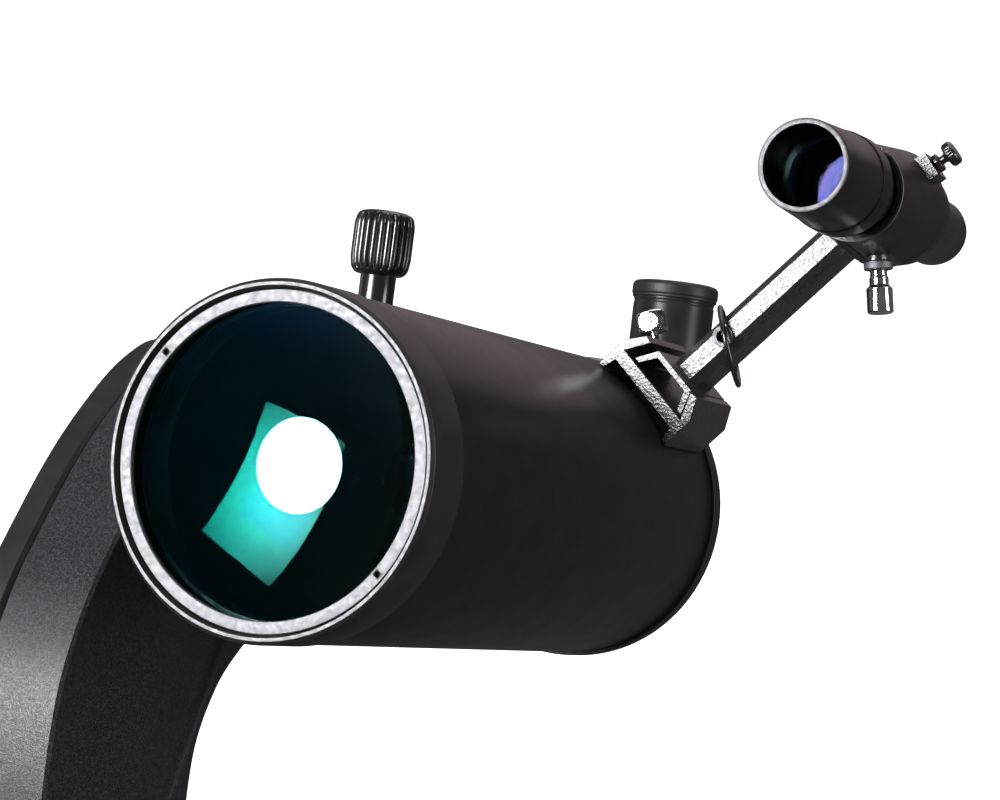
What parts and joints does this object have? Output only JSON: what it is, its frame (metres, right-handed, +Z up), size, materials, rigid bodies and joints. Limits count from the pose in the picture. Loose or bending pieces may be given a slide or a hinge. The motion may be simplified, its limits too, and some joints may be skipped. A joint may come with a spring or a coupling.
{
  "type": "maksutov telescope",
  "caption": "Black Maksutov reflector-refractor tube with finder scope and star diagonal, on a single-arm motorised altazimuth mount head.",
  "frame": {"origin": "centre of the flat tripod face under the base, on the azimuth axis", "axes": "+Z up along the azimuth axis; the telescope points towards -Y at rest, raised 17.1 degrees; the arm is on the -X side"},
  "size_m": [0.2979, 0.3888, 0.4066],
  "materials": {
    "black_paint": "satin fine-textured black paint",
    "hammered_paint": "hammered black paint with a silvery sheen",
    "grey_plastic": "fine-grained dark grey moulding",
    "black_plastic": "satin black moulding",
    "black_rubber": "matt black rubber",
    "silver": "fine-blasted bare aluminium",
    "chrome": "polished chrome plate",
    "steel": "machined steel",
    "brass": "machined brass",
    "glass": "coated optical glass",
    "mirror": "aluminised glass",
    "board": "green circuit board"
  },
  "bodies": {
    "base": {"base_plate": "grey_plastic", "azimuth_thrust_bearing": "steel", "azimuth_spindle": "steel", "azimuth_worm_wheel": "brass"},
    "turret": {"turret_housing": "grey_plastic", "turret_floor": "steel", "connector_panel": "black_plastic", "power_socket": "black_plastic", "handset_socket": "black_plastic", "azimuth_motor": "steel", "control_board": "board", "arm_inner_shell": "grey_plastic", "arm_outer_cover": "grey_plastic", "altitude_bearing": "steel", "arm_chassis": "steel", "altitude_motor": "steel", "arm_screw_1": "steel", "arm_screw_2": "steel"},
    "power_rocker": {"power_switch": "black_plastic"},
    "azimuth_worm_body": {"azimuth_worm": "steel"},
    "altitude_worm_body": {"altitude_worm": "steel"},
    "telescope": {"altitude_shaft": "steel", "altitude_worm_wheel": "brass", "saddle": "black_paint", "dovetail_bar": "black_paint", "tube": "black_paint", "front_cell": "black_paint", "corrector_retaining_ring": "silver", "corrector_lens": "glass", "secondary_mirror": "mirror", "rear_cell": "black_paint", "baffle_tube": "black_paint", "visual_back": "black_paint", "finder_shoe": "hammered_paint", "finder_bracket": "hammered_paint", "finder_tube": "black_paint", "finder_eyepiece": "black_plastic", "finder_o_ring": "black_rubber", "spare_o_ring": "black_rubber"},
    "saddle_clamp": {"saddle_knob": "black_plastic", "saddle_knob_screw": "chrome"},
    "focuser": {"primary_mirror": "mirror", "mirror_carrier": "brass"},
    "focus_control": {"focus_knob": "black_rubber", "focus_screw": "steel"},
    "visual_back_clamp": {"visual_back_screw": "chrome"},
    "diagonal": {"diagonal_nosepiece": "chrome", "diagonal_body": "black_plastic", "diagonal_prism": "glass", "eyepiece_holder": "black_plastic"},
    "eyepiece_clamp": {"eyepiece_screw": "chrome"},
    "dust_cap": {"diagonal_dust_cap": "black_rubber"},
    "shoe_lock": {"shoe_lock_knob": "chrome"},
    "finder_cell": {"finder_objective_cell": "black_paint", "finder_objective": "glass"},
    "finder_adjuster_a": {"finder_screw_a": "black_plastic", "finder_screw_a_lock_ring": "black_plastic"},
    "finder_adjuster_b": {"finder_screw_b": "black_plastic", "finder_screw_b_lock_ring": "black_plastic"},
    "plunger": {"finder_plunger": "chrome"}
  },
  "joints": [
    {"name": "azimuth", "type": "hinge", "parent": "base", "child": "turret", "pos_m": [0, 0, 0], "axis": [0, 0, 1], "continuous": true},
    {"name": "azimuth_worm_turn", "type": "hinge", "parent": "turret", "child": "azimuth_worm_body", "pos_m": [0.0412, 0, 0.033], "axis": [0, 1, 0], "continuous": true},
    {"name": "altitude", "type": "hinge", "parent": "turret", "child": "telescope", "pos_m": [0, 0.045, 0.262], "axis": [-1, 0, 0], "range_deg": [-22, 72]},
    {"name": "altitude_worm_turn", "type": "hinge", "parent": "turret", "child": "altitude_worm_body", "pos_m": [-0.122, 0.0078, 0.262], "axis": [0, 0, 1], "range_deg": [-800, 2600]},
    {"name": "power_switch_rock", "type": "hinge", "parent": "turret", "child": "power_rocker", "pos_m": [0.0735, -0.014, 0.0395], "axis": [0, -1, 0], "range_deg": [0, 14]},
    {"name": "saddle_knob_turn", "type": "hinge", "parent": "telescope", "child": "saddle_clamp", "pos_m": [-0.071, 0.07558, 0.25259], "axis": [0, 0.294, 0.9558], "range_deg": [-720, 0]},
    {"name": "mirror_focus", "type": "slide", "parent": "telescope", "child": "focuser", "axis": [0, -0.9558, 0.294], "range_m": [-0.002, 0.002]},
    {"name": "focus_knob_turn", "type": "hinge", "parent": "telescope", "child": "focus_control", "pos_m": [0.027, -0.12542, 0.28618], "axis": [0, 0.9558, -0.294], "range_deg": [-1060, 1060]},
    {"name": "visual_back_screw_turn", "type": "hinge", "parent": "telescope", "child": "visual_back_clamp", "pos_m": [0, 0.14823, 0.23024], "axis": [0.9848, -0.0511, -0.166], "range_deg": [-720, 0]},
    {"name": "diagonal_roll", "type": "hinge", "parent": "telescope", "child": "diagonal", "pos_m": [0, 0.20844, 0.21172], "axis": [0, -0.9558, 0.294], "range_deg": [-100, 100]},
    {"name": "eyepiece_screw_turn", "type": "hinge", "parent": "diagonal", "child": "eyepiece_clamp", "pos_m": [-0.00056, 0.23196, 0.28818], "axis": [-0.5736, 0.7818, -0.2447], "range_deg": [-720, 0]},
    {"name": "dust_cap_pull", "type": "slide", "parent": "diagonal", "child": "dust_cap", "axis": [-0.007, 0.294, 0.9558], "range_m": [0, 0.02]},
    {"name": "shoe_lock_turn", "type": "hinge", "parent": "telescope", "child": "shoe_lock", "pos_m": [0.03716, 0.12262, 0.30344], "axis": [-0.3264, 0.2779, 0.9035], "range_deg": [-720, 0]},
    {"name": "finder_focus_turn", "type": "hinge", "parent": "telescope", "child": "finder_cell", "pos_m": [0.11874, -0.08069, 0.43159], "axis": [0, -0.9558, 0.294], "range_deg": [-360, 360]},
    {"name": "finder_screw_a_turn", "type": "hinge", "parent": "telescope", "child": "finder_adjuster_a", "pos_m": [0.11874, 0.14105, 0.36337], "axis": [0.766, 0.189, 0.6144], "range_deg": [-720, 720]},
    {"name": "finder_screw_b_turn", "type": "hinge", "parent": "telescope", "child": "finder_adjuster_b", "pos_m": [0.11874, 0.14105, 0.36337], "axis": [-0.9397, 0.1006, 0.3269], "range_deg": [-720, 720]},
    {"name": "finder_plunger_pull", "type": "slide", "parent": "telescope", "child": "plunger", "axis": [0.1736, -0.2896, -0.9413], "range_m": [0, 0.002], "stiffness_N_per_m": 700, "springref_m": -0.003}
  ],
  "couplings": [
    {"joint": "azimuth_worm_turn", "follows": "azimuth", "ratio": 36},
    {"joint": "altitude_worm_turn", "follows": "altitude", "ratio": 36},
    {"joint": "focus_knob_turn", "follows": "mirror_focus", "rad_per_m": 8976}
  ]
}
